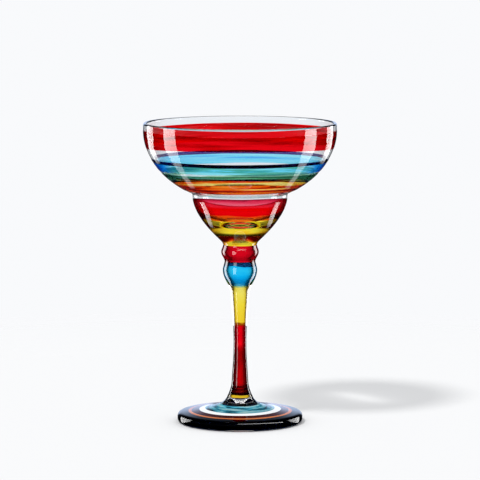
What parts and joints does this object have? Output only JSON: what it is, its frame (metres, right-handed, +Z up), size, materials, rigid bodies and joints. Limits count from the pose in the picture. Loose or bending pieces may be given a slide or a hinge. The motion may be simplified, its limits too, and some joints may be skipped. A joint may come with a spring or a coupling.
{
  "type": "cocktail glass",
  "caption": "Footed cocktail glass: a wide saucer bowl over a narrow cup, two knops, a slim stem and a round foot, painted with coloured bands.",
  "frame": {"origin": "centre of the foot's underside, on the table", "axes": "+Z up the stem's axis from the foot to the rim; -Y faces the camera of the picture"},
  "size_m": [0.1176, 0.1176, 0.183],
  "materials": {
    "clear_glass": "polished",
    "red_enamel": "glossy",
    "navy_enamel": "glossy",
    "sky_enamel": "glossy",
    "sea_enamel": "glossy",
    "orange_enamel": "glossy",
    "pink_enamel": "glossy",
    "amber_enamel": "glossy",
    "blue_enamel": "glossy",
    "yellow_enamel": "glossy",
    "teal_enamel": "glossy",
    "white_enamel": "glossy",
    "maroon_enamel": "glossy"
  },
  "bodies": {
    "root": {"bowl": "clear_glass", "upper_knop": "clear_glass", "lower_knop": "clear_glass", "stem": "clear_glass", "foot": "clear_glass", "bowl_red_band": "red_enamel", "bowl_navy_line": "navy_enamel", "bowl_sky_band": "sky_enamel", "bowl_lower_line": "navy_enamel", "bowl_sea_band": "sea_enamel", "bowl_orange_band": "orange_enamel", "cup_pink_band": "pink_enamel", "cup_yellow_band": "amber_enamel", "upper_knop_red_coat": "red_enamel", "lower_knop_blue_coat": "blue_enamel", "stem_yellow_coat": "yellow_enamel", "stem_red_coat": "red_enamel", "stem_yellow_ring": "yellow_enamel", "foot_teal_ring": "teal_enamel", "foot_white_ring": "white_enamel", "foot_maroon_ring": "maroon_enamel", "foot_orange_ring": "orange_enamel", "foot_navy_ring": "navy_enamel"}
  },
  "joints": []
}
